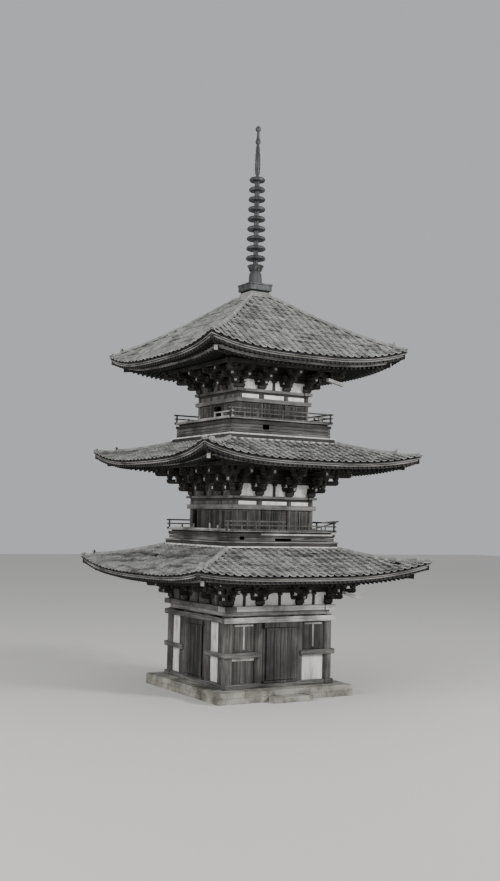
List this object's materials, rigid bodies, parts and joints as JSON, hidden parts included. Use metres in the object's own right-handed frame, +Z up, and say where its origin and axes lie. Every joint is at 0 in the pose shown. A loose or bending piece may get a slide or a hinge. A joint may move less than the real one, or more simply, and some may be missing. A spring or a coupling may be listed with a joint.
{
  "type": "three-storey timber pagoda",
  "caption": "Square timber pagoda with tiled roofs on brackets, balconies, a ground room with opening doors, and a ringed bronze spire.",
  "frame": {"origin": "on the ground under the centre of the tower", "axes": "+Z up; the front with the step faces -Y; +X to the right seen from the front"},
  "size_m": [8.48, 8.48, 18.95],
  "materials": {
    "stone": "weathered",
    "timber": "weathered",
    "door_timber": "weathered",
    "plaster": "matt lime plaster",
    "roof_tile": "weathered",
    "bronze": "weathered bronze"
  },
  "bodies": {
    "tower": {"back_door_frame": "timber", "back_doors": "door_timber", "back_left_corner_walls": "plaster", "back_left_waist_beam": "timber", "back_right_corner_walls": "plaster", "back_right_waist_beam": "timber", "balcony_2_floor": "timber", "balcony_2_frame": "timber", "balcony_2_railing": "timber", "balcony_3_floor": "timber", "balcony_3_frame": "timber", "balcony_3_railing": "timber", "front_door_frame": "timber", "front_left_corner_walls": "plaster", "front_left_waist_beam": "timber", "front_right_corner_walls": "plaster", "front_right_waist_beam": "timber", "front_step": "stone", "ground_ceiling": "timber", "ground_floor": "timber", "ground_head_rail": "timber", "ground_sill": "timber", "left_door_frame": "timber", "right_door_frame": "timber", "right_doors": "door_timber", "roof_1_eaves": "timber", "roof_1_hips_and_kerb": "roof_tile", "roof_1_tiles": "roof_tile", "roof_2_eaves": "timber", "roof_2_hips_and_kerb": "roof_tile", "roof_2_tiles": "roof_tile", "roof_3_eaves": "timber", "roof_3_hips": "roof_tile", "roof_3_tiles": "roof_tile", "spire_bowl": "bronze", "spire_box": "bronze", "spire_flame_and_jewel": "bronze", "spire_rings": "bronze", "stone_podium": "stone", "storey_1_brackets": "timber", "storey_2_brackets": "timber", "storey_2_head_rail": "timber", "storey_2_walls": "timber", "storey_3_brackets": "timber", "storey_3_head_rail": "timber", "storey_3_walls": "timber"},
    "front_left_door": {"front_left_door": "door_timber"},
    "front_right_door": {"front_right_door": "door_timber"},
    "left_front_door": {"left_front_door": "door_timber"},
    "left_back_door": {"left_back_door": "door_timber"}
  },
  "joints": [
    {"name": "front_left_door_swing", "type": "hinge", "parent": "tower", "child": "front_left_door", "pos_m": [-0.504, -1.9975, 1.38], "axis": [0, 0, 1], "range_deg": [-100, 0]},
    {"name": "front_right_door_swing", "type": "hinge", "parent": "tower", "child": "front_right_door", "pos_m": [0.504, -1.9975, 1.38], "axis": [0, 0, 1], "range_deg": [0, 100]},
    {"name": "left_front_door_swing", "type": "hinge", "parent": "tower", "child": "left_front_door", "pos_m": [-1.9975, -0.504, 1.38], "axis": [0, 0, 1], "range_deg": [0, 100]},
    {"name": "left_back_door_swing", "type": "hinge", "parent": "tower", "child": "left_back_door", "pos_m": [-1.9975, 0.504, 1.38], "axis": [0, 0, 1], "range_deg": [-100, 0]}
  ]
}
